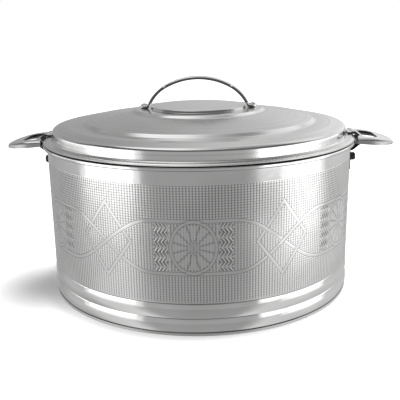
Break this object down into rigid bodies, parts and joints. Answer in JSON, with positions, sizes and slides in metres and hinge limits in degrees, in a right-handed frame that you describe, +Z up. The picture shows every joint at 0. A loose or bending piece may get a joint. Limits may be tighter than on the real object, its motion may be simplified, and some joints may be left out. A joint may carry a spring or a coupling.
{
  "type": "insulated chapati casserole",
  "caption": "Round double-walled steel serving pot with a stepped lift-off lid, an arched lid handle and wing-shaped side handles that latch over the lid's brim.",
  "frame": {"origin": "centre of the ring that the pot stands on, at floor level", "axes": "+Z up, X through the two latch handles, Y from front to back"},
  "size_m": [0.386, 0.308, 0.2051],
  "materials": {
    "polished_steel": "mirror-polished stainless steel",
    "patterned_steel": "bright stainless steel, rolled with a fine waffle and a band of lozenges, ribbons and a rosette",
    "brushed_base": "satin stainless steel",
    "handle_steel": "polished pressed stainless steel",
    "zinc_steel": "plain bright fastener steel",
    "foam": "cut rigid polyurethane foam"
  },
  "bodies": {
    "pot_body": {"outer_shell": "patterned_steel", "inner_bowl": "polished_steel", "body_insulation": "foam", "base_plate": "brushed_base", "latch_bracket_right": "handle_steel", "bracket_bolt_right": "zinc_steel", "bracket_washer_right": "zinc_steel", "bracket_nut_right": "zinc_steel", "hinge_pin_right": "zinc_steel", "latch_bracket_left": "handle_steel", "bracket_bolt_left": "zinc_steel", "bracket_washer_left": "zinc_steel", "bracket_nut_left": "zinc_steel", "hinge_pin_left": "zinc_steel"},
    "lid": {"lid_cover": "polished_steel", "lid_liner": "brushed_base", "lid_insulation": "foam", "lid_handle": "handle_steel", "handle_rivets": "handle_steel", "handle_backing_washers": "zinc_steel"},
    "latch_right": {"latch_handle_right": "handle_steel"},
    "latch_left": {"latch_handle_left": "handle_steel"}
  },
  "joints": [
    {"name": "lid_lift", "type": "slide", "parent": "pot_body", "child": "lid", "axis": [0, 0, 1], "range_m": [0, 0.0135]},
    {"name": "latch_right_swing", "type": "hinge", "parent": "pot_body", "child": "latch_right", "pos_m": [0.161, 0, 0.1404], "axis": [0, 1, 0], "range_deg": [0, 85]},
    {"name": "latch_left_swing", "type": "hinge", "parent": "pot_body", "child": "latch_left", "pos_m": [-0.161, 0, 0.1404], "axis": [0, -1, 0], "range_deg": [0, 85]}
  ],
  "couplings": [
    {"joint": "latch_right_swing", "follows": "lid_lift", "rad_per_m": 109.89},
    {"joint": "latch_left_swing", "follows": "lid_lift", "rad_per_m": 109.89}
  ]
}
